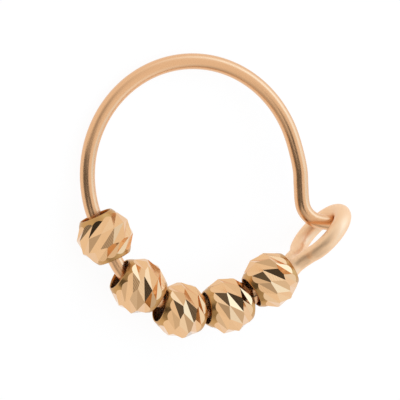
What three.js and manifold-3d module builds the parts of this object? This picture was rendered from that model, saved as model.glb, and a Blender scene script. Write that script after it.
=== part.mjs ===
// A small beaded hoop earring of polished rose gold, in millimetres, +Z up.
//
// One length of round wire makes the whole earring: a hook at one end, the hoop, the stretch that
// carries five loose diamond-cut beads, and an eye at the other end. The hook catches in the eye.
// The earring lies on its side on the plane z = 0, leaning on the top of the hoop, on the eye and
// on the first bead. The wire is laid out flat first, in the hoop's own plane, and then tipped.
import * as THREE from 'three';
import { mergeVertices } from 'three/addons/utils/BufferGeometryUtils.js';
import Module from 'manifold-3d';

const degrees = THREE.MathUtils.degToRad;

// Wire
const WIRE_RADIUS = 0.4;
const WIRE_SIDES = 16;
const WIRE_STEP = 0.42;

// Hoop: nearly round, a touch taller than wide
const HOOP_CENTRE = new THREE.Vector3(-0.075, -0.153, 0);
const HOOP_HALF_WIDTH = 5.925;
const HOOP_HALF_HEIGHT = 6.083;
const HOOP_START_ANGLE = 20;
const HOOP_END_ANGLE = 200;
const HOOP_ARC_STEP = 10;
const HOOP_REST_ANGLE = 135;

// Hook: a straight leg that leans out from the hoop, an outward bend and a short straight end
const HOOK_LEG_TOP = new THREE.Vector3(5.95, 0.2, 0);
const HOOK_LEG = 1.7;
const HOOK_LEG_LEAN = 3.7;
const HOOK_BEND_RADIUS = 1.22;
const HOOK_BEND = 76;
const HOOK_END = 0.55;

// Eye: a round loop that stands on edge across the plane of the hoop, with a two-wire neck
const EYE_CENTRE = new THREE.Vector3(7.1, -3.34, 0);
const EYE_RADIUS = 1.64;
const EYE_HEADING = 48;
const EYE_TWIST = 5;
const EYE_OPEN_ANGLE = 150;
const EYE_ARC_STEP = 20;
const NECK_HEADING = 45;
const NECK_TWIST = 14;
const NECK_HALF_PITCH = 0.41;
const NECK_START = 2.15;
const NECK_END = 2.75;
const TAIL_END = 3.3;

// Beads
const BEAD_HALF_LENGTH = 1.25;
const BEAD_FACETS = 12;
const BEAD_WAIST = { along: 0.39, radius: 1.465 };
const BEAD_SHOULDER = { along: 0.94, radius: 1.115 };
const BEAD_COLLAR = { along: 1.05, scallop: 0.045, radius: 1.035 };
const BEAD_RIM = { along: 1.215, radius: 0.935 };
const BEAD_LIP_RADIUS = 0.885;
const BEAD_BORE = [
  { along: 1.225, radius: 0.855 },
  { along: 0.6, radius: 0.99 },
  { along: 0, radius: 1.09 },
];

// Where the wire runs through the beads, from the hoop's lower left round to the neck
const THREADING = [
  { x: -4.95, y: -3.66, z: 0.05 },
  { x: -4.2, y: -5.08, z: 0.04 },
  { x: -3.3, y: -6.06, z: 0 },
  { x: -2.1, y: -6.76, z: 0 },
  { x: -0.8, y: -7.13, z: -0.05 },
  { x: 0.6, y: -7.37, z: -0.1 },
  { x: 1.95, y: -7.15, z: -0.1 },
  { x: 3.18, y: -6.73, z: -0.07 },
  { x: 4.2, y: -5.9, z: 0.26 },
];

// Each bead's middle in the plane of the hoop, its turn in that plane, its pitch and its roll
const BEADS = [
  { x: -5.16, y: -3.42, z: 0.44, heading: -65, pitch: 1, roll: 7 },
  { x: -3.17, y: -6.04, z: 0.06, heading: -30.5, pitch: 0.5, roll: 0 },
  { x: -0.72, y: -7.35, z: -0.26, heading: -12, pitch: -3.5, roll: 25 },
  { x: 1.96, y: -7.11, z: -0.31, heading: 6.5, pitch: -0.5, roll: 14 },
  { x: 4.265, y: -5.755, z: -0.02, heading: 32, pitch: 1.5, roll: 10 },
];

// A point of the hoop, by its angle from +X
function onHoop(angle) {
  const turn = degrees(angle);
  return HOOP_CENTRE.clone().add(
    new THREE.Vector3(HOOP_HALF_WIDTH * Math.cos(turn), HOOP_HALF_HEIGHT * Math.sin(turn), 0));
}

// A point so far along a line through the eye's centre and so far across it
function besideEye(heading, twist, along, across) {
  const turn = degrees(heading);
  const roll = degrees(twist);
  const ahead = new THREE.Vector3(Math.cos(turn), Math.sin(turn), 0);
  const aside = new THREE.Vector3(
    Math.sin(roll) * Math.sin(turn), -Math.sin(roll) * Math.cos(turn), Math.cos(roll));
  return EYE_CENTRE.clone().addScaledVector(ahead, along).addScaledVector(aside, across);
}

const onEye = (along, across) => besideEye(EYE_HEADING, EYE_TWIST, along, across);
const onNeck = (along, across) => besideEye(NECK_HEADING, NECK_TWIST, along, across);

// The hook's points, from its tip back to the hoop
function hookPoints() {
  const lean = degrees(HOOK_LEG_LEAN);
  const legFoot = HOOK_LEG_TOP.clone().add(
    new THREE.Vector3(Math.sin(lean), -Math.cos(lean), 0).multiplyScalar(HOOK_LEG));
  const bendCentre = legFoot.clone().add(
    new THREE.Vector3(Math.cos(lean), Math.sin(lean), 0).multiplyScalar(HOOK_BEND_RADIUS));
  const points = [];
  for (const part of [1, 0.75, 0.5, 0.25, 0]) {
    const turn = Math.PI + lean + degrees(HOOK_BEND) * part;
    const spoke = new THREE.Vector3(Math.cos(turn), Math.sin(turn), 0);
    points.push(bendCentre.clone().addScaledVector(spoke, HOOK_BEND_RADIUS));
  }
  const endTurn = lean + degrees(HOOK_BEND - 90);
  const endWay = new THREE.Vector3(Math.cos(endTurn), Math.sin(endTurn), 0);
  const tip = points[0].clone().addScaledVector(endWay, HOOK_END);
  const halfWay = points[0].clone().addScaledVector(endWay, HOOK_END / 2);
  const legMiddle = legFoot.clone().lerp(HOOK_LEG_TOP, 0.5);
  return [tip, halfWay, ...points, legMiddle, HOOK_LEG_TOP];
}

function hoopPoints() {
  const points = [];
  for (let angle = HOOP_START_ANGLE; angle <= HOOP_END_ANGLE; angle += HOOP_ARC_STEP) {
    points.push(onHoop(angle));
  }
  return points;
}

// The eye's points: up one side of the neck, round the loop and back down the other side
function eyePoints() {
  const points = [onNeck(-NECK_END, NECK_HALF_PITCH), onNeck(-NECK_START, NECK_HALF_PITCH)];
  const arcs = Math.round((2 * EYE_OPEN_ANGLE) / EYE_ARC_STEP);
  for (let i = 0; i <= arcs; i += 1) {
    const turn = degrees(EYE_OPEN_ANGLE * (1 - (2 * i) / arcs));
    points.push(onEye(EYE_RADIUS * Math.cos(turn), EYE_RADIUS * Math.sin(turn)));
  }
  for (const along of [NECK_START, NECK_END, TAIL_END]) {
    points.push(onNeck(-along, -NECK_HALF_PITCH));
  }
  return points;
}

function wirePath() {
  const threading = THREADING.map(({ x, y, z }) => new THREE.Vector3(x, y, z));
  const path = new THREE.CatmullRomCurve3(
    [...hookPoints(), ...hoopPoints(), ...threading, ...eyePoints()], false, 'centripetal');
  path.arcLengthDivisions = 2000;
  return path;
}

// A regular polygon of the wire's section
function wireSection() {
  const corners = [];
  for (let i = 0; i < WIRE_SIDES; i += 1) {
    const turn = (2 * Math.PI * i) / WIRE_SIDES;
    corners.push(new THREE.Vector2(WIRE_RADIUS * Math.cos(turn), WIRE_RADIUS * Math.sin(turn)));
  }
  return new THREE.Shape(corners);
}

function closedShell(geometry) {
  geometry.deleteAttribute('normal');
  geometry.deleteAttribute('uv');
  return mergeVertices(geometry, 1e-4);
}

// The bent wire, with the hook's tip rounded over by a ball of the wire's own radius
async function wireGeometry() {
  const path = wirePath();
  const tube = closedShell(new THREE.ExtrudeGeometry(wireSection(), {
    extrudePath: path,
    steps: Math.round(path.getLength() / WIRE_STEP),
  }));
  const ball = new THREE.SphereGeometry(WIRE_RADIUS, WIRE_SIDES, WIRE_SIDES / 2);
  const start = path.getTangentAt(0).negate();
  ball.applyQuaternion(new THREE.Quaternion().setFromUnitVectors(new THREE.Vector3(0, 1, 0), start));
  ball.translate(...path.getPointAt(0).toArray());
  return joined(tube, closedShell(ball));
}

async function joined(first, second) {
  const wasm = await Module();
  wasm.setup();
  const solidOf = (geometry) => new wasm.Manifold(new wasm.Mesh({
    numProp: 3,
    vertProperties: new Float32Array(geometry.attributes.position.array),
    triVerts: new Uint32Array(geometry.index.array),
  }));
  const mesh = solidOf(first).add(solidOf(second)).getMesh();
  const geometry = new THREE.BufferGeometry();
  geometry.setAttribute('position', new THREE.BufferAttribute(mesh.vertProperties, 3));
  geometry.setIndex(new THREE.BufferAttribute(mesh.triVerts, 1));
  return geometry;
}

// A ring of corners round the bead's own axis, +X. Turn is counted in facets.
function beadRing(along, radius, count, turn) {
  const corners = [];
  for (let i = 0; i < count; i += 1) {
    const angle = (2 * Math.PI * (i / count + turn / BEAD_FACETS));
    corners.push(new THREE.Vector3(along, -radius * Math.sin(angle), radius * Math.cos(angle)));
  }
  return corners;
}

// The collar's edge is scalloped, because each pair of facets runs out on it between two corners
function scallopedRing(side, turn) {
  const ring = beadRing(side * BEAD_COLLAR.along, BEAD_COLLAR.radius, 2 * BEAD_FACETS, turn);
  ring.forEach((corner, i) => {
    corner.x += side * BEAD_COLLAR.scallop * (i % 2 === 0 ? -1 : 1);
  });
  return ring;
}

// A diamond-cut bead: three bands of long slanted facets between two smooth collars, round a
// wide bore that swells a little in the middle. Each ring of corners is half a facet further
// round than the one before, and each pair of facets meets in a valley along its long diagonal.
function beadGeometry() {
  const double = 2 * BEAD_FACETS;
  const waist = BEAD_WAIST;
  const shoulder = BEAD_SHOULDER;
  const lastTurn = 1.5;
  const rings = [
    beadRing(-BEAD_HALF_LENGTH, BEAD_LIP_RADIUS, double, 0),
    beadRing(-BEAD_RIM.along, BEAD_RIM.radius, double, 0),
    scallopedRing(-1, 0),
    beadRing(-shoulder.along, shoulder.radius, BEAD_FACETS, 0),
    beadRing(-waist.along, waist.radius, BEAD_FACETS, 0.5),
    beadRing(waist.along, waist.radius, BEAD_FACETS, 1),
    beadRing(shoulder.along, shoulder.radius, BEAD_FACETS, lastTurn),
    scallopedRing(1, lastTurn),
    beadRing(BEAD_RIM.along, BEAD_RIM.radius, double, lastTurn),
    beadRing(BEAD_HALF_LENGTH, BEAD_LIP_RADIUS, double, lastTurn),
  ];
  const bore = [...BEAD_BORE, ...BEAD_BORE.slice(0, -1).reverse()];
  bore.forEach(({ along, radius }, i) => {
    const side = i < BEAD_BORE.length ? 1 : -1;
    rings.push(beadRing(side * along, radius, double, lastTurn));
  });

  const points = [];
  const firstIndex = rings.map((ring) => points.push(...ring) - ring.length);
  const triangles = [];
  const corner = (ring, i) => firstIndex[ring] + (i % rings[ring].length);
  for (let r = 0; r < rings.length - 1; r += 1) {
    const [here, next] = [rings[r].length, rings[r + 1].length];
    for (let i = 0; i < Math.min(here, next); i += 1) {
      if (here === next) {
        triangles.push([corner(r, i), corner(r + 1, i + 1), corner(r + 1, i)]);
        triangles.push([corner(r, i), corner(r, i + 1), corner(r + 1, i + 1)]);
      } else if (here > next) {
        triangles.push([corner(r, 2 * i), corner(r, 2 * i + 1), corner(r + 1, i)]);
        triangles.push([corner(r, 2 * i + 1), corner(r + 1, i + 1), corner(r + 1, i)]);
        triangles.push([corner(r, 2 * i + 1), corner(r, 2 * i + 2), corner(r + 1, i + 1)]);
      } else {
        triangles.push([corner(r, i), corner(r + 1, 2 * i + 1), corner(r + 1, 2 * i)]);
        triangles.push([corner(r, i), corner(r, i + 1), corner(r + 1, 2 * i + 1)]);
        triangles.push([corner(r, i + 1), corner(r + 1, 2 * i + 2), corner(r + 1, 2 * i + 1)]);
      }
    }
  }
  closeBore(rings, corner, triangles);

  const geometry = new THREE.BufferGeometry().setFromPoints(points);
  geometry.setIndex(triangles.flat());
  return geometry;
}

// The bore's last ring meets the first lip, whose corners lie three half-steps round from it
function closeBore(rings, corner, triangles) {
  const last = rings.length - 1;
  const shift = 3;
  for (let i = 0; i < 2 * BEAD_FACETS; i += 1) {
    triangles.push([corner(last, i), corner(0, i + shift + 1), corner(0, i + shift)]);
    triangles.push([corner(last, i), corner(last, i + 1), corner(0, i + shift + 1)]);
  }
}

// Lies the flat layout on the ground, which it meets at the hoop's top left, the eye's low side
// and the waist of the first bead
function layDown(earring) {
  const underEye = onEye(0, -EYE_RADIUS);
  underEye.z -= WIRE_RADIUS;
  const underHoop = onHoop(HOOP_REST_ANGLE).setZ(-WIRE_RADIUS);
  const underBead = new THREE.Vector3(BEADS[0].x, BEADS[0].y, BEADS[0].z - BEAD_WAIST.radius);
  const ground = new THREE.Plane().setFromCoplanarPoints(underHoop, underBead, underEye);
  earring.quaternion.setFromUnitVectors(ground.normal, new THREE.Vector3(0, 0, 1));
  const box = new THREE.Box3().setFromObject(earring, true);
  const middle = box.getCenter(new THREE.Vector3());
  earring.position.set(-middle.x, -middle.y, -box.min.z);
}

const wireFinish = new THREE.MeshStandardMaterial({
  name: 'polished rose gold wire', color: '#e9b98a', roughness: 0.16, metalness: 1 });
const beadFinish = new THREE.MeshStandardMaterial({
  name: 'diamond-cut rose gold', color: '#e3b083', roughness: 0.1, metalness: 1 });

const earring = new THREE.Group();

const hoopWire = new THREE.Mesh(await wireGeometry(), wireFinish);
hoopWire.name = 'hoop_wire';
earring.add(hoopWire);

BEADS.forEach(({ x, y, z, heading, pitch, roll }, i) => {
  const bead = new THREE.Mesh(beadGeometry(), beadFinish);
  bead.name = `bead_${i + 1}`;
  bead.position.set(x, y, z);
  bead.rotation.set(degrees(roll), degrees(-pitch), degrees(heading), 'ZYX');
  earring.add(bead);
});

layDown(earring);

const part = new THREE.Group();
part.add(earring);

export default part;
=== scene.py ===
# A small beaded hoop earring of polished rose gold, lying on its side on a pale table.
#
# One bent wire makes the ear hook, the hoop and the eye. Five loose diamond-cut beads ride on its
# lower stretch. Sizes are in millimetres and are turned to metres where a mesh is made.
import math

import bpy
from mathutils import Matrix, Vector


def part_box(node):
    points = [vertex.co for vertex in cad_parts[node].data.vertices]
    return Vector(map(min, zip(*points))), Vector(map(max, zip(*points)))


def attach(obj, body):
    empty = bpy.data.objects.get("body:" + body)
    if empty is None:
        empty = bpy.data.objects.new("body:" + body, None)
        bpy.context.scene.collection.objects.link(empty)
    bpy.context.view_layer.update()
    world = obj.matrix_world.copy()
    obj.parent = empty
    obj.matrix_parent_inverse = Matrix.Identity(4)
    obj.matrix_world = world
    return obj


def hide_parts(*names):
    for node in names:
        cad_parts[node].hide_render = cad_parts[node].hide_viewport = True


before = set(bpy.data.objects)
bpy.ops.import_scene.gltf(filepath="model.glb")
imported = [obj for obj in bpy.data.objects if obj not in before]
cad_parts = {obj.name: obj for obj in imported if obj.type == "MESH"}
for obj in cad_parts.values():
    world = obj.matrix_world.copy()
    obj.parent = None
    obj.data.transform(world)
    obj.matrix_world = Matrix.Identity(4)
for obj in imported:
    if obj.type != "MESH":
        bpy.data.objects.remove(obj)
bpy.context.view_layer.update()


# Wire
# A single length of drawn round brass wire, 0.8 mm thick, with a skin of rolled rose gold. It is
# bent round a mandrel, tumbled bright and lacquered. It is a hair fuller at the top of the hoop
# and in the eye, where the bending thickened it.
MM = 0.001
WIRE_RADIUS = 0.4
EYE_WIRE_RADIUS = 0.45
TOP_WIRE_RADIUS = 0.428
WIRE_SIDES = 48
DOME_RINGS = 8
STEPS_PER_SPAN = 11
SPANS_TO_GROW = 4
HOOP_CENTRE = (-0.075, -0.153)
HOOP_HALF_WIDTH = 5.925
HOOP_HALF_HEIGHT = 6.083
HOOP_START_ANGLE = 20
HOOP_END_ANGLE = 200
HOOP_ARC_STEP = 10
HOOP_REST_ANGLE = 135
HOOK_LEG_TOP = (5.95, 0.2)
HOOK_LEG = 1.7
HOOK_LEG_LEAN = 3.7
HOOK_BEND_RADIUS = 1.22
HOOK_BEND = 76
HOOK_END = 0.55
EYE_CENTRE = Vector((7.1, -3.34, 0))
EYE_RADIUS = 1.64
EYE_HEADING = 48
EYE_TWIST = 5
EYE_OPEN_ANGLE = 150
EYE_ARCS = 15
NECK_HEADING = 45
NECK_TWIST = 14
NECK_HALF_PITCH = 0.41
NECK_START = 2.15
NECK_END = 2.75
TAIL_END = 3.3
THREADING = [
    (-4.95, -3.66, 0.05), (-4.2, -5.08, 0.04), (-3.3, -6.06, 0),
    (-2.1, -6.76, 0), (-0.8, -7.13, -0.05), (0.6, -7.37, -0.1),
    (1.95, -7.15, -0.1), (3.18, -6.73, -0.07), (4.2, -5.9, 0.26),
]


def on_hoop(angle):
    """A point of the hoop's middle line, by its angle from +X."""
    turn = math.radians(angle)
    return Vector((HOOP_CENTRE[0] + HOOP_HALF_WIDTH * math.cos(turn),
                   HOOP_CENTRE[1] + HOOP_HALF_HEIGHT * math.sin(turn), 0))


def beside_eye(heading, twist, along, across):
    """A point so far along a line through the eye's centre and so far across it."""
    turn = math.radians(heading)
    roll = math.radians(twist)
    ahead = Vector((math.cos(turn), math.sin(turn), 0))
    aside = Vector((math.sin(roll) * math.sin(turn), -math.sin(roll) * math.cos(turn),
                    math.cos(roll)))
    return EYE_CENTRE + ahead * along + aside * across


def on_eye(along, across):
    return beside_eye(EYE_HEADING, EYE_TWIST, along, across)


def on_neck(along, across):
    return beside_eye(NECK_HEADING, NECK_TWIST, along, across)


def hook_points():
    """The hook, from its tip back to the top of its leg."""
    lean = math.radians(HOOK_LEG_LEAN)
    top = Vector((*HOOK_LEG_TOP, 0))
    foot = top + Vector((math.sin(lean), -math.cos(lean), 0)) * HOOK_LEG
    centre = foot + Vector((math.cos(lean), math.sin(lean), 0)) * HOOK_BEND_RADIUS
    bend = []
    for part in (1, 0.75, 0.5, 0.25, 0):
        turn = math.pi + lean + math.radians(HOOK_BEND) * part
        bend.append(centre + Vector((math.cos(turn), math.sin(turn), 0)) * HOOK_BEND_RADIUS)
    way = lean + math.radians(HOOK_BEND - 90)
    end_way = Vector((math.cos(way), math.sin(way), 0))
    tip = bend[0] + end_way * HOOK_END
    half_way = bend[0] + end_way * (HOOK_END / 2)
    return [tip, half_way, *bend, foot.lerp(top, 0.5), top]


def eye_points():
    """Up one side of the neck, round the eye and back down into the last bead."""
    up_side = [on_neck(-along, NECK_HALF_PITCH) for along in (NECK_END, NECK_START)]
    loop = []
    for i in range(EYE_ARCS + 1):
        turn = math.radians(EYE_OPEN_ANGLE * (1 - 2 * i / EYE_ARCS))
        loop.append(on_eye(EYE_RADIUS * math.cos(turn), EYE_RADIUS * math.sin(turn)))
    down_side = [on_neck(-along, -NECK_HALF_PITCH) for along in (NECK_START, NECK_END, TAIL_END)]
    return up_side + loop + down_side


def smooth_run(points, steps):
    """Points along a centripetal Catmull-Rom curve through these points."""
    ends = [2 * points[0] - points[1], *points, 2 * points[-1] - points[-2]]
    run = []
    for i in range(1, len(ends) - 2):
        a, b, c, d = ends[i - 1:i + 3]
        gap_1 = (b - a).length ** 0.5
        gap_2 = (c - b).length ** 0.5
        gap_3 = (d - c).length ** 0.5
        leave = ((b - a) / gap_1 - (c - a) / (gap_1 + gap_2) + (c - b) / gap_2) * gap_2
        arrive = ((c - b) / gap_2 - (d - b) / (gap_2 + gap_3) + (d - c) / gap_3) * gap_2
        for step in range(steps):
            t = step / steps
            run.append(b * (2 * t**3 - 3 * t**2 + 1) + leave * (t**3 - 2 * t**2 + t)
                       + c * (3 * t**2 - 2 * t**3) + arrive * (t**3 - t**2))
    run.append(points[-1])
    return run


def dome(place, way, radius, outward):
    """The rings that round over one end of the wire, the widest first."""
    rings = []
    for step in range(1, DOME_RINGS + 1):
        rise = math.radians(90 * step / (DOME_RINGS + 1))
        tip = place + way * (radius * math.sin(rise) * outward)
        rings.append((tip, way, radius * math.cos(rise)))
    return rings


def swept_wire(run, radius_at):
    """A round tube along the run, with both ends rounded over."""
    ways = [(run[min(i + 1, len(run) - 1)] - run[max(i - 1, 0)]).normalized()
            for i in range(len(run))]
    side = ways[0].cross(Vector((0, 0, 1))).normalized()
    tube = [(place, ways[i], radius_at(i / (len(run) - 1))) for i, place in enumerate(run)]
    stations = [*reversed(dome(run[0], ways[0], radius_at(0), -1)), *tube,
                *dome(run[-1], ways[-1], radius_at(1), 1)]
    verts = []
    for place, way, radius in stations:
        side = (side - way * side.dot(way)).normalized()
        up = way.cross(side)
        for i in range(WIRE_SIDES):
            turn = 2 * math.pi * i / WIRE_SIDES
            verts.append(place + (side * math.cos(turn) + up * math.sin(turn)) * radius)
    faces = []
    for r in range(len(stations) - 1):
        for i in range(WIRE_SIDES):
            j = (i + 1) % WIRE_SIDES
            here, there = r * WIRE_SIDES, (r + 1) * WIRE_SIDES
            faces.append((here + i, here + j, there + j, there + i))
    faces.append(tuple(reversed(range(WIRE_SIDES))))
    faces.append(tuple(range(len(verts) - WIRE_SIDES, len(verts))))
    return verts, faces


def colour(hex_value):
    """An sRGB hex value as a linear colour."""
    parts = [int(hex_value[i:i + 2], 16) / 255 for i in (1, 3, 5)]
    linear = [p / 12.92 if p <= 0.04045 else ((p + 0.055) / 1.055) ** 2.4 for p in parts]
    return (*linear, 1)


def add_node(tree, kind, settings=(), inputs=()):
    """One node with its settings, and values or sockets for its inputs."""
    node = tree.nodes.new(kind)
    for name, value in dict(settings).items():
        setattr(node, name, value)
    for name, value in dict(inputs).items():
        if isinstance(value, bpy.types.NodeSocket):
            tree.links.new(value, node.inputs[name])
        else:
            node.inputs[name].default_value = value
    return node


def solid(name, verts, faces, materials, face_material=None):
    """A smooth-shaded mesh object, made from millimetres."""
    mesh = bpy.data.meshes.new(name)
    mesh.from_pydata([v * MM for v in verts], [], faces)
    for material in materials:
        mesh.materials.append(material)
    for i, polygon in enumerate(mesh.polygons):
        polygon.use_smooth = True
        if face_material:
            polygon.material_index = face_material[i]
    thing = bpy.data.objects.new(name, mesh)
    bpy.context.scene.collection.objects.link(thing)
    return thing


# Polished rose gold: a tumbled wire is bright but not a mirror, so its reflections are soft, and
# faint drawing marks and handling haze break them up. The thin lacquer over it pales its edges
wire_gold = bpy.data.materials.new("tumbled_rose_gold")
wire_gold.use_nodes = True
tree = wire_gold.node_tree
tree.nodes.clear()
place = add_node(tree, "ShaderNodeTexCoord")
haze = add_node(tree, "ShaderNodeTexNoise", {}, {
    "Vector": place.outputs["Object"], "Scale": 1 / (0.9 * MM), "Detail": 3, "Roughness": 0.55})
haze_roughness = add_node(tree, "ShaderNodeMapRange", {}, {
    "Value": haze.outputs["Fac"], "From Min": 0.3, "From Max": 0.7, "To Min": 0.24, "To Max": 0.29})
marks = add_node(tree, "ShaderNodeTexNoise", {}, {
    "Vector": place.outputs["Object"], "Scale": 1 / (0.16 * MM), "Detail": 2, "Roughness": 0.6})
marks_bump = add_node(tree, "ShaderNodeBump", {}, {
    "Strength": 0.005, "Distance": 0.01 * MM, "Height": marks.outputs["Fac"]})
metal = add_node(tree, "ShaderNodeBsdfPrincipled", {}, {
    "Base Color": colour("#e6b384"), "Metallic": 1.0,
    "Roughness": haze_roughness.outputs["Result"], "Normal": marks_bump.outputs["Normal"],
    "Coat Weight": 0.35, "Coat Roughness": 0.3})
add_node(tree, "ShaderNodeOutputMaterial", {}, {"Surface": metal.outputs["BSDF"]})

# The eye was heated to be bent so tight, which leaves it satin. Its paler colour is painted light
eye_gold_painted_paler = bpy.data.materials.new("eye_rose_gold_painted_paler")
eye_gold_painted_paler.use_nodes = True
tree = eye_gold_painted_paler.node_tree
tree.nodes.clear()
place = add_node(tree, "ShaderNodeTexCoord")
bloom = add_node(tree, "ShaderNodeTexNoise", {}, {
    "Vector": place.outputs["Object"], "Scale": 1 / (1.2 * MM), "Detail": 3, "Roughness": 0.6})
bloom_roughness = add_node(tree, "ShaderNodeMapRange", {}, {
    "Value": bloom.outputs["Fac"], "From Min": 0.3, "From Max": 0.7, "To Min": 0.39, "To Max": 0.45})
bloom_and_painted_pale_tone = add_node(tree, "ShaderNodeValToRGB", {}, {"Fac": bloom.outputs["Fac"]})
# Painted highlight: these paler colours, and the diffuse share from the lower metallic, stand in for
# the brighter light on the eye
bloom_and_painted_pale_tone.color_ramp.elements[0].color = colour("#f8ca9c")
bloom_and_painted_pale_tone.color_ramp.elements[1].color = colour("#fcd6ad")
metal = add_node(tree, "ShaderNodeBsdfPrincipled", {}, {
    "Base Color": bloom_and_painted_pale_tone.outputs["Color"], "Metallic": 0.72,
    "Roughness": bloom_roughness.outputs["Result"]})
add_node(tree, "ShaderNodeOutputMaterial", {}, {"Surface": metal.outputs["BSDF"]})

hoop_angles = range(HOOP_START_ANGLE, HOOP_END_ANGLE + 1, HOOP_ARC_STEP)
hoop_points = [on_hoop(angle) for angle in hoop_angles]
wire_points = [*hook_points(), *hoop_points, *map(Vector, THREADING), *eye_points()]
wire_run = smooth_run(wire_points, STEPS_PER_SPAN)
run_end = len(wire_run) - 1
eye_start = run_end - (len(eye_points()) - 1) * STEPS_PER_SPAN
half_hoop = len(hoop_points) // 2 * STEPS_PER_SPAN
hoop_middle = len(hook_points()) * STEPS_PER_SPAN + half_hoop


def wire_radius(part):
    """The wire's radius, which grows a little into the eye and at the top of the hoop."""
    step = part * run_end
    grown = (step - eye_start) / (SPANS_TO_GROW * STEPS_PER_SPAN)
    shrunk = (run_end - step) / (SPANS_TO_GROW * STEPS_PER_SPAN)
    in_eye = min(1, max(0, min(grown, shrunk)))
    in_eye = in_eye * in_eye * (3 - 2 * in_eye)
    at_top = max(0, 1 - ((step - hoop_middle) / half_hoop) ** 2) ** 2
    return (WIRE_RADIUS + (EYE_WIRE_RADIUS - WIRE_RADIUS) * in_eye
            + (TOP_WIRE_RADIUS - WIRE_RADIUS) * at_top)


# The eye's own finish, with its painted paler colour, starts inside the last bead. The rings of the
# hook's tip come first
verts, faces = swept_wire(wire_run, wire_radius)
finish = [int(max(face) // WIRE_SIDES > eye_start + DOME_RINGS) for face in faces]
wire = solid("wire", verts, faces, [wire_gold, eye_gold_painted_paler], finish)

# The flat layout is tipped onto the table, on the top of the hoop, the eye and the first bead
FIRST_BEAD = (-5.16, -3.42, 0.44)
WAIST_RADIUS = 1.465
under_hoop = on_hoop(HOOP_REST_ANGLE) - Vector((0, 0, WIRE_RADIUS))
under_bead = Vector(FIRST_BEAD) - Vector((0, 0, WAIST_RADIUS))
under_eye = on_eye(0, -EYE_RADIUS) - Vector((0, 0, WIRE_RADIUS))
ground = (under_bead - under_hoop).cross(under_eye - under_hoop).normalized()
tip_over = ground.rotation_difference(Vector((0, 0, 1))).to_matrix().to_4x4()
wire.data.transform(tip_over)
solid_low, solid_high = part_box("hoop_wire")
sizes = [[min(v.co[i] for v in wire.data.vertices), max(v.co[i] for v in wire.data.vertices)]
         for i in range(3)]
shift = Vector([(solid_low[i] + solid_high[i] - sizes[i][0] - sizes[i][1]) / 2 for i in range(3)])
lay_down = Matrix.Translation(shift) @ tip_over
wire.data.transform(Matrix.Translation(shift))
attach(wire, "root")
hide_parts("hoop_wire")


# Beads
# Five loose spacer beads of the same metal, turned hollow on a lathe and then diamond-cut. In each
# of three bands the diamond takes twelve long slanted V-shaped nicks, and a narrow turned collar is
# left at both ends. The wide bore shows dark inside.
CUTS = 12
TURNED_SIDES = 96
WAIST_ALONG = 0.39
SHOULDER_ALONG = 0.94
SHOULDER_RADIUS = 1.115
BANDS = [
    (-SHOULDER_ALONG, SHOULDER_RADIUS, -WAIST_ALONG, WAIST_RADIUS, 0.55),
    (-WAIST_ALONG, WAIST_RADIUS, WAIST_ALONG, WAIST_RADIUS, 0.6),
    (WAIST_ALONG, WAIST_RADIUS, SHOULDER_ALONG, SHOULDER_RADIUS, 0.5),
]
RUN_OUT_ALONG = 0.93
RUN_OUT_RADIUS = 1.045
RUN_OUT_SLOPE = 0.2
HOLLOW_GRIND = 0.2
CUT_REACH = 2
LEAST_AREA = 1e-6
CUT, SKIN, RAW, HOLLOW_CUT = range(4)
TURNED = [(0, 1.5), (0.39, 1.462), (0.94, 1.113), (1.205, 0.94)]
LIP = [(1.205, 0.94), (1.228, 0.922), (1.242, 0.905), (1.25, 0.885), (1.247, 0.862), (1.225, 0.85),
       (1.03, 0.855)]
BORE = [(1.03, 0.855), (0.9, 0.87), (0.6, 0.91), (0.3, 0.96), (0, 0.98)]


def bead_point(along, radius, turn):
    """A point at this turn round the bead's axis, counted in cuts."""
    angle = 2 * math.pi * turn / CUTS
    return Vector((along, -radius * math.sin(angle), radius * math.cos(angle)))


def plane_of(a, b, c):
    """The outward normal and the height of the plane through three points."""
    normal = (b - a).cross(c - a).normalized()
    height = normal.dot(a)
    return (normal, height) if height > 0 else (-normal, -height)


def nicks(turns):
    """The flanks of every nick, as planes. The metal below any one flank of a nick is left."""
    cuts = []
    for (near, near_radius, far, far_radius, slant), turn in zip(BANDS, turns):
        for i in range(CUTS):
            a0, a1 = (bead_point(near, near_radius, turn + i + k) for k in (0, 1))
            b0, b1 = (bead_point(far, far_radius, turn + slant + i + k) for k in (0, 1))
            flanks = [plane_of(a0, b0, b1), plane_of(a0, a1, b1)]
            if near_radius != far_radius:
                side = 1 if near > 0 else -1
                middle = turn + i + 0.5 + (slant if side > 0 else 0)
                out = bead_point(0, 1, middle)
                normal = (out + Vector((side * RUN_OUT_SLOPE, 0, 0))).normalized()
                start = out * RUN_OUT_RADIUS + Vector((side * RUN_OUT_ALONG, 0, 0))
                flanks.append((normal, normal.dot(start)))
            cuts.append(flanks)
    return cuts


def split(face, plane):
    """The parts of a flat face below and above a plane."""
    normal, height = plane
    gaps = [normal.dot(p) - height for p in face]
    below, above = [], []
    for i, point in enumerate(face):
        before, gap, gap_before = face[i - 1], gaps[i], gaps[i - 1]
        if (gap > 0) != (gap_before > 0):
            crossing = before.lerp(point, gap_before / (gap_before - gap))
            below.append(crossing)
            above.append(crossing)
        (above if gap > 0 else below).append(point)
    return below, above


def area_of(face):
    total = Vector()
    for a, b in zip(face[1:], face[2:]):
        total += (a - face[0]).cross(b - face[0])
    return total.length / 2


def carve(face, cuts):
    """What is left of a flat face once every nick has been cut."""
    pieces = [face]
    for cut in cuts:
        left = []
        for piece in pieces:
            rest, kept = piece, []
            for plane in cut:
                below, rest = split(rest, plane)
                if len(below) > 2:
                    kept.append(below)
                if len(rest) < 3:
                    break
            if len(rest) < 3 or area_of(rest) < LEAST_AREA:
                kept = [piece]
            left += [k for k in kept if area_of(k) > LEAST_AREA]
        pieces = left
    return pieces


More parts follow.
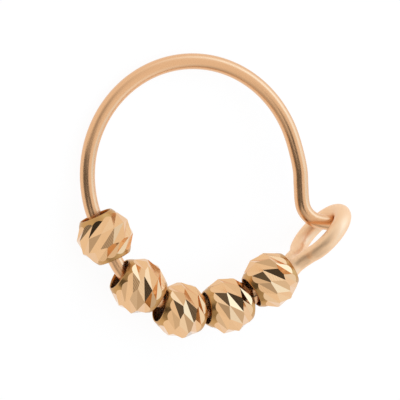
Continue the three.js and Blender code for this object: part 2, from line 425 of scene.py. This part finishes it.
def turned_faces(profile):
    """The small flats of a turned surface, on both sides of the bead's middle."""
    step = CUTS / TURNED_SIDES
    faces = []
    for side in (-1, 1):
        for (along_0, radius_0), (along_1, radius_1) in zip(profile, profile[1:]):
            for i in range(TURNED_SIDES):
                corners = [bead_point(side * along_0, radius_0, i * step),
                           bead_point(side * along_1, radius_1, i * step),
                           bead_point(side * along_1, radius_1, (i + 1) * step),
                           bead_point(side * along_0, radius_0, (i + 1) * step)]
                faces.append(corners[::-1] if side > 0 else corners)
    return faces


def broad_face(normal, height):
    """A square of a plane, which faces outward and reaches well past the bead."""
    side = normal.cross(Vector((1, 0, 0))).normalized() * CUT_REACH
    up = normal.cross(side)
    middle = normal * height
    face = [middle + side + up, middle - side + up, middle - side - up, middle + side - up]
    if (face[1] - face[0]).cross(face[2] - face[0]).dot(normal) < 0:
        face.reverse()
    return face


def cut_bead(turns):
    """The flat faces of one bead about the X axis, each with its finish."""
    cuts = nicks(turns)
    blank = turned_faces(TURNED)
    blank_planes = [plane_of(*face[:3]) for face in blank]
    faces = []
    for number, cut in enumerate(cuts):
        in_middle_band = number // CUTS == 1
        for flank in cut:
            kind = HOLLOW_CUT if flank is cut[1] and not in_middle_band else CUT
            normal, height = flank
            face = broad_face(normal, height)
            for other in cut:
                if other is not flank:
                    face = split(face, other)[1]
            # Planes and cuts that face another way never reach this face, and are passed over
            for plane in blank_planes:
                if plane[0].dot(normal) > 0.6 and len(face) > 2:
                    face = split(face, plane)[0]
            others = [c for c in cuts[:number] + cuts[number + 1:] if c[0][0].dot(normal) > 0.1]
            if len(face) > 2:
                faces += [(piece, kind) for piece in carve(face, others)]
    for face, (normal, height) in zip(blank, blank_planes):
        near = [c for c in cuts if c[0][0].dot(normal) > 0.5]
        faces += [(piece, SKIN) for piece in carve(face, near)]
    faces += [(face, SKIN) for face in turned_faces(LIP)]
    faces += [(face, RAW) for face in turned_faces(BORE)]
    return faces


def welded(faces):
    """The points, loops and finishes of these faces, which share corners with their own kind."""
    verts, numbers, loops, finish = [], {}, [], []
    for points, kind in faces:
        loop = []
        for point in points:
            key = (round(point.x, 4), round(point.y, 4), round(point.z, 4), kind)
            if key not in numbers:
                numbers[key] = len(verts)
                verts.append(point)
            if numbers[key] not in loop:
                loop.append(numbers[key])
        if len(loop) > 2:
            loops.append(loop)
            finish.append(kind)
    return verts, loops, finish


# Diamond-cut rose gold: a burnished mirror with the fine parallel tracks of the tool. The real
# tracks are some hundredths of a millimetre apart, and are drawn coarser so that they show. The
# bands of a wave texture are a tenth of pi apart at a scale of 1
TRACK_SPACING = 0.09
cut_gold = bpy.data.materials.new("diamond_cut_rose_gold")
cut_gold.use_nodes = True
tree = cut_gold.node_tree
tree.nodes.clear()
place = add_node(tree, "ShaderNodeTexCoord")
grain = add_node(tree, "ShaderNodeTexNoise", {}, {
    "Vector": place.outputs["Object"], "Scale": 1 / (0.06 * MM), "Detail": 3, "Roughness": 0.7})
grain_bump = add_node(tree, "ShaderNodeBump", {}, {
    "Strength": 0.1, "Distance": 0.004 * MM, "Height": grain.outputs["Fac"]})
tracks = add_node(tree, "ShaderNodeTexWave", {"bands_direction": "DIAGONAL"}, {
    "Vector": place.outputs["Object"], "Scale": math.pi / 10 / (TRACK_SPACING * MM), "Distortion": 5,
    "Detail": 2, "Detail Scale": 0.6})
tracks_bump = add_node(tree, "ShaderNodeBump", {}, {
    "Strength": 0.07, "Distance": 0.004 * MM, "Height": tracks.outputs["Fac"],
    "Normal": grain_bump.outputs["Normal"]})
metal = add_node(tree, "ShaderNodeBsdfPrincipled", {}, {
    "Base Color": colour("#e9bb8a"), "Metallic": 1.0, "Roughness": 0.09,
    "Normal": tracks_bump.outputs["Normal"]})
add_node(tree, "ShaderNodeOutputMaterial", {}, {"Surface": metal.outputs["BSDF"]})

# The collar keeps the turned and tumbled skin, duller than the fresh cuts. Its yellower, darker
# colour is painted shade
collar_gold_painted_shade = bpy.data.materials.new("turned_gold_collar_painted_shade")
collar_gold_painted_shade.use_nodes = True
tree = collar_gold_painted_shade.node_tree
tree.nodes.clear()
place = add_node(tree, "ShaderNodeTexCoord")
skin = add_node(tree, "ShaderNodeTexNoise", {}, {
    "Vector": place.outputs["Object"], "Scale": 1 / (0.2 * MM), "Detail": 3, "Roughness": 0.6})
skin_roughness = add_node(tree, "ShaderNodeMapRange", {}, {
    "Value": skin.outputs["Fac"], "From Min": 0.3, "From Max": 0.7, "To Min": 0.2, "To Max": 0.3})
# Painted shade: a darker copy of the gold, for the shade at the bead ends where they meet each other
# and the wire
metal = add_node(tree, "ShaderNodeBsdfPrincipled", {}, {
    "Base Color": colour("#c6965c"), "Metallic": 1.0,
    "Roughness": skin_roughness.outputs["Result"]})
add_node(tree, "ShaderNodeOutputMaterial", {}, {"Surface": metal.outputs["BSDF"]})

# The bore is never polished. Its darker, greyer gold is painted shade inside the hollow
bore_gold_painted_shade = bpy.data.materials.new("raw_gold_bore_painted_shade")
bore_gold_painted_shade.use_nodes = True
tree = bore_gold_painted_shade.node_tree
tree.nodes.clear()
place = add_node(tree, "ShaderNodeTexCoord")
bore_mottle = add_node(tree, "ShaderNodeTexNoise", {}, {
    "Vector": place.outputs["Object"], "Scale": 1 / (0.25 * MM), "Detail": 3, "Roughness": 0.6})
bore_painted_shade_tone = add_node(tree, "ShaderNodeValToRGB", {}, {"Fac": bore_mottle.outputs["Fac"]})
# Painted shade: a darker, greyer copy of the gold, for the shade inside the bore
bore_painted_shade_tone.color_ramp.elements[0].color = colour("#9a8068")
bore_painted_shade_tone.color_ramp.elements[1].color = colour("#c0a68a")
metal = add_node(tree, "ShaderNodeBsdfPrincipled", {}, {
    "Base Color": bore_painted_shade_tone.outputs["Color"], "Metallic": 1.0, "Roughness": 0.45})
add_node(tree, "ShaderNodeOutputMaterial", {}, {"Surface": metal.outputs["BSDF"]})

# Each bead's middle, its heading in the plane of the hoop, its pitch, and how far round each of its
# bands starts, in cuts
BEADS = [
    (FIRST_BEAD, -65, 1, (0.15, 0.65, 0.65)),
    ((-3.17, -6.04, 0.06), -30.5, 0.5, (0.45, 0.45, 0.05)),
    ((-0.72, -7.35, -0.26), -12, -3.5, (0.25, 0.2, 0.5)),
    ((1.96, -7.11, -0.31), 6.5, -0.5, (0.45, 0.9, 0.65)),
    ((4.265, -5.755, -0.02), 32, 1.5, (0.3, 0.7, 0.8)),
]
# The collar and bore golds carry painted shade
bead_golds = {CUT: cut_gold, SKIN: collar_gold_painted_shade, RAW: bore_gold_painted_shade}
for number, (middle, heading, pitch, turns) in enumerate(BEADS, start=1):
    verts, faces, finish = welded(cut_bead(turns))
    slots = [CUT if kind == HOLLOW_CUT else kind for kind in finish]
    bead = solid(f"cut_bead_{number}", verts, faces, bead_golds.values(), slots)

    # One flank of each outer nick is ground very slightly hollow by the round edge of the diamond,
    # so its shading leans a little along the bead. A zero normal leaves a corner as it is
    corners = [Vector()] * len(bead.data.loops)
    for polygon, kind in zip(bead.data.polygons, finish):
        polygon.use_smooth = kind in (SKIN, RAW)
        if kind == HOLLOW_CUT:
            leaning = (polygon.normal + Vector((HOLLOW_GRIND, 0, 0))).normalized()
            for corner in polygon.loop_indices:
                corners[corner] = leaning
    bead.data.normals_split_custom_set(corners)
    turn = (Matrix.Rotation(math.radians(heading), 4, "Z")
            @ Matrix.Rotation(math.radians(-pitch), 4, "Y"))
    bead.data.transform(lay_down @ Matrix.Translation(Vector(middle) * MM) @ turn)
    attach(bead, "root")
    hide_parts(f"bead_{number}")


# Table
# A plain sheet of white opal acrylic, as small goods are laid on, lit from below until it is
# almost featureless.
TABLE_HALF = 2000

# Opal acrylic: a matt skin that glows evenly, with a trace of unevenness in it
table_white = bpy.data.materials.new("lit_opal_acrylic")
table_white.use_nodes = True
tree = table_white.node_tree
tree.nodes.clear()
place = add_node(tree, "ShaderNodeTexCoord")
mottle = add_node(tree, "ShaderNodeTexNoise", {}, {
    "Vector": place.outputs["Object"], "Scale": 1 / (4 * MM), "Detail": 2})
mottle_tone = add_node(tree, "ShaderNodeMapRange", {}, {
    "Value": mottle.outputs["Fac"], "To Min": 0.1, "To Max": 0.12})
matt = add_node(tree, "ShaderNodeBsdfDiffuse", {}, {"Color": mottle_tone.outputs["Result"]})
glow = add_node(tree, "ShaderNodeEmission", {}, {"Strength": 0.92})
lit = add_node(tree, "ShaderNodeAddShader", {}, {})
tree.links.new(matt.outputs[0], lit.inputs[0])
tree.links.new(glow.outputs[0], lit.inputs[1])
add_node(tree, "ShaderNodeOutputMaterial", {}, {"Surface": lit.outputs["Shader"]})
table = solid("table", [Vector((x * TABLE_HALF, y * TABLE_HALF, 0)) for x, y in (
    (-1, -1), (1, -1), (1, 1), (-1, 1))], [(0, 1, 2, 3)], [table_white])


# Camera
# It looks down at the earring from well above the table, from far enough off to be almost flat.
CAMERA_BACK = 0.3
CAMERA_WAY = Vector((-0.3955, 0.0859, 0.9144)).normalized()
CAMERA_UP = Vector((0.0039, 0.9958, -0.0918))
CAMERA_AIM = Vector((-0.7068, -0.2002, 1.414)) * MM
SHOWN_WIDTH = 21.33 * MM

camera_right = CAMERA_UP.cross(CAMERA_WAY).normalized()
camera_up = CAMERA_WAY.cross(camera_right)
camera = bpy.data.objects.new("camera", bpy.data.cameras.new("camera"))
bpy.context.scene.collection.objects.link(camera)
camera.data.sensor_width = 36
camera.data.lens = 36 * CAMERA_BACK / SHOWN_WIDTH
camera.data.clip_start = 0.01
camera.matrix_world = Matrix.Translation(CAMERA_AIM + CAMERA_WAY * CAMERA_BACK) @ Matrix(
    (camera_right, camera_up, CAMERA_WAY)).transposed().to_4x4()
bpy.context.scene.camera = camera


# Light
# A white cloth tent round the table, with a long cool soft box low on the right, the dark opening
# that the camera looks through, and the dark arm that holds the camera from the left.
world = bpy.data.worlds.new("light_tent")
bpy.context.scene.world = world
world.use_nodes = True
tree = world.node_tree
tree.nodes.clear()
way = add_node(tree, "ShaderNodeTexCoord")


def tent_way(from_camera, clock):
    """A direction by its angle from the camera and its turn from the right of the view."""
    a, c = math.radians(from_camera), math.radians(clock)
    return (camera_right * (math.sin(a) * math.cos(c)) + camera_up * (math.sin(a) * math.sin(c))
            + CAMERA_WAY * math.cos(a))


def facing(from_camera, clock):
    """How squarely a ray meets one part of the tent: 1 straight at it, 0 at right angles to it."""
    return add_node(tree, "ShaderNodeVectorMath", {"operation": "DOT_PRODUCT"}, {
        0: way.outputs["Generated"], 1: tent_way(from_camera, clock)}).outputs["Value"]


def patch(from_camera, clock, sharpness):
    """A soft round patch of the tent, 1 at its centre and falling away round it."""
    falling = add_node(tree, "ShaderNodeMath", {"operation": "MULTIPLY_ADD"}, {
        0: facing(from_camera, clock), 1: sharpness, 2: -sharpness})
    return add_node(tree, "ShaderNodeMath", {"operation": "EXPONENT"}, {
        0: falling.outputs[0]}).outputs[0]


def edge(value, start, end):
    """A soft edge, from 0 where the value is at the start to 1 where it is at the end."""
    return add_node(tree, "ShaderNodeMapRange", {"interpolation_type": "SMOOTHSTEP"}, {
        "Value": value, "From Min": start, "From Max": end}).outputs["Result"]


def both(first, second):
    return add_node(tree, "ShaderNodeMath", {"operation": "MULTIPLY"}, {
        0: first, 1: second}).outputs[0]


def cosine(angle):
    return math.cos(math.radians(angle))


# The soft box lies low along the right. It ends well short of the camera, and is dimmer at its far
# end. The cloth bounces a little more of it back from low on the left
to_camera = facing(0, 0)
near_end = edge(to_camera, cosine(60), cosine(63))
far_end = add_node(tree, "ShaderNodeMath", {"operation": "MULTIPLY_ADD"}, {
    0: edge(to_camera, cosine(91), cosine(80)), 1: 0.6, 2: 0.4})
soft_box = both(patch(95, 21, 2.75), both(near_end, far_end.outputs[0]))
CLOTH = 0.98
tone = (CLOTH, CLOTH, CLOTH)
for mask, glow in ((soft_box, (0.49, 1.17, 2.1)), (patch(80, 180, 5.7), (0.4, 0.4, 0.33))):
    added = add_node(tree, "ShaderNodeVectorMath", {"operation": "SCALE"}, {0: glow, "Scale": mask})
    total = add_node(tree, "ShaderNodeVectorMath", {"operation": "ADD"}, {
        0: tone, 1: added.outputs["Vector"]})
    tone = total.outputs["Vector"]

# The arm widens away from the camera, and ends part of the way down the left side. Folds and
# seams in the cloth are dimmer
across = add_node(tree, "ShaderNodeMath", {"operation": "ABSOLUTE"}, {0: facing(90, 97)})
inside = add_node(tree, "ShaderNodeMath", {"operation": "MULTIPLY_ADD"}, {
    0: facing(90, 187), 1: 0.53, 2: 0.0})
clear = add_node(tree, "ShaderNodeMath", {"operation": "SUBTRACT"}, {
    0: inside.outputs[0], 1: across.outputs[0]})
arm = both(edge(clear.outputs[0], -0.04, 0.04), edge(to_camera, cosine(71), cosine(65)))
opening = edge(facing(7.5, 297), cosine(17), cosine(12))
for mask, share in (
        (opening, 0.92), (arm, 0.86), (patch(55, 231, 11), 0.58), (patch(30, 128, 13), 0.6),
        (patch(87, 278, 9), 0.51), (patch(80, 354, 27), 0.38)):
    shade = add_node(tree, "ShaderNodeMath", {"operation": "MULTIPLY_ADD"}, {
        0: mask, 1: -share, 2: 1.0})
    total = add_node(tree, "ShaderNodeVectorMath", {"operation": "SCALE"}, {
        0: tone, "Scale": shade.outputs[0]})
    tone = total.outputs["Vector"]
backdrop = add_node(tree, "ShaderNodeBackground", {}, {"Color": tone})
add_node(tree, "ShaderNodeOutputWorld", {}, {"Surface": backdrop.outputs["Background"]})
bpy.context.scene.view_settings.view_transform = "Standard"
